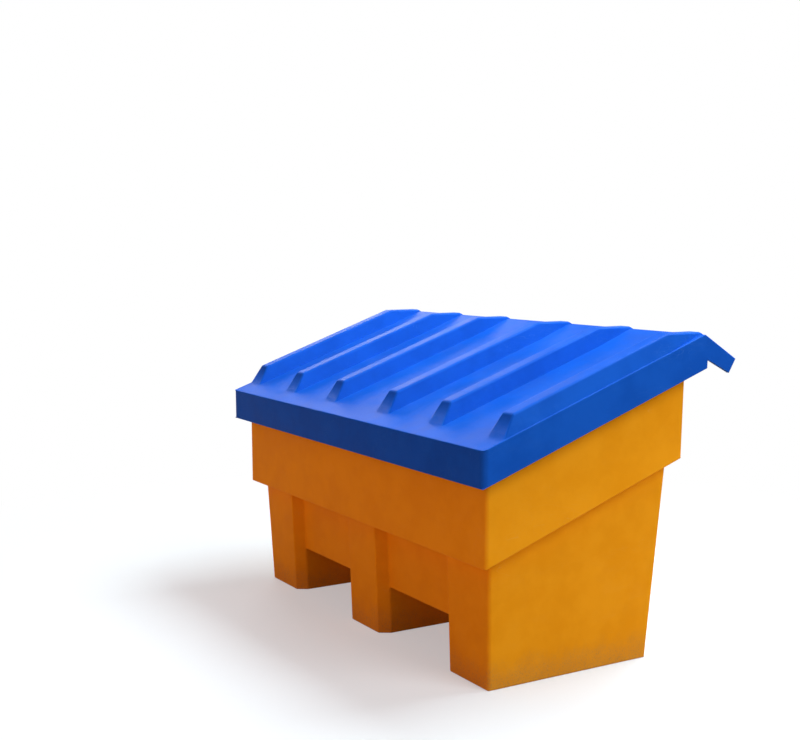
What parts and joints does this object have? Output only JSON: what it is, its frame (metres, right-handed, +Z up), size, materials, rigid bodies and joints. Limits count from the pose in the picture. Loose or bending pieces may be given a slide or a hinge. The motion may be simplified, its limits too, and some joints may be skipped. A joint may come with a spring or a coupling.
{
  "type": "grit salt bin",
  "caption": "Yellow polyethylene grit and salt bin with fork pockets and a blue ribbed sloping lid on steel hinges.",
  "frame": {"origin": "on the floor at the centre of the tub's foot, under the centre leg", "axes": "+X to the right along the width when facing the front, +Y to the rear where the hinges are, +Z up"},
  "size_m": [1.033, 0.5835, 0.6424],
  "materials": {
    "tub_plastic": "moulded polyethylene, slightly waxy, scuffed",
    "lid_plastic": "moulded polyethylene, satin",
    "galvanised_steel": "hot-dip galvanised",
    "bright_steel": "zinc plated"
  },
  "bodies": {
    "tub": {"tub": "tub_plastic", "hinge_bracket_left": "galvanised_steel", "hinge_bracket_centre": "galvanised_steel", "hinge_bracket_right": "galvanised_steel", "hinge_pin_left": "bright_steel", "hinge_pin_centre": "bright_steel", "hinge_pin_right": "bright_steel", "pin_cap_left": "bright_steel", "pin_cap_centre": "bright_steel", "pin_cap_right": "bright_steel", "bracket_bolts": "bright_steel", "bracket_washers": "bright_steel", "bracket_nuts": "bright_steel"},
    "lid": {"lid": "lid_plastic", "lid_leaf_left": "galvanised_steel", "lid_leaf_centre": "galvanised_steel", "lid_leaf_right": "galvanised_steel", "leaf_bolts": "bright_steel", "leaf_washers": "bright_steel", "leaf_nuts": "bright_steel"}
  },
  "joints": [
    {"name": "lid_hinge", "type": "hinge", "parent": "tub", "child": "lid", "pos_m": [0, 0.27252, 0.60677], "axis": [-1, 0, 0], "range_deg": [0, 115]}
  ]
}
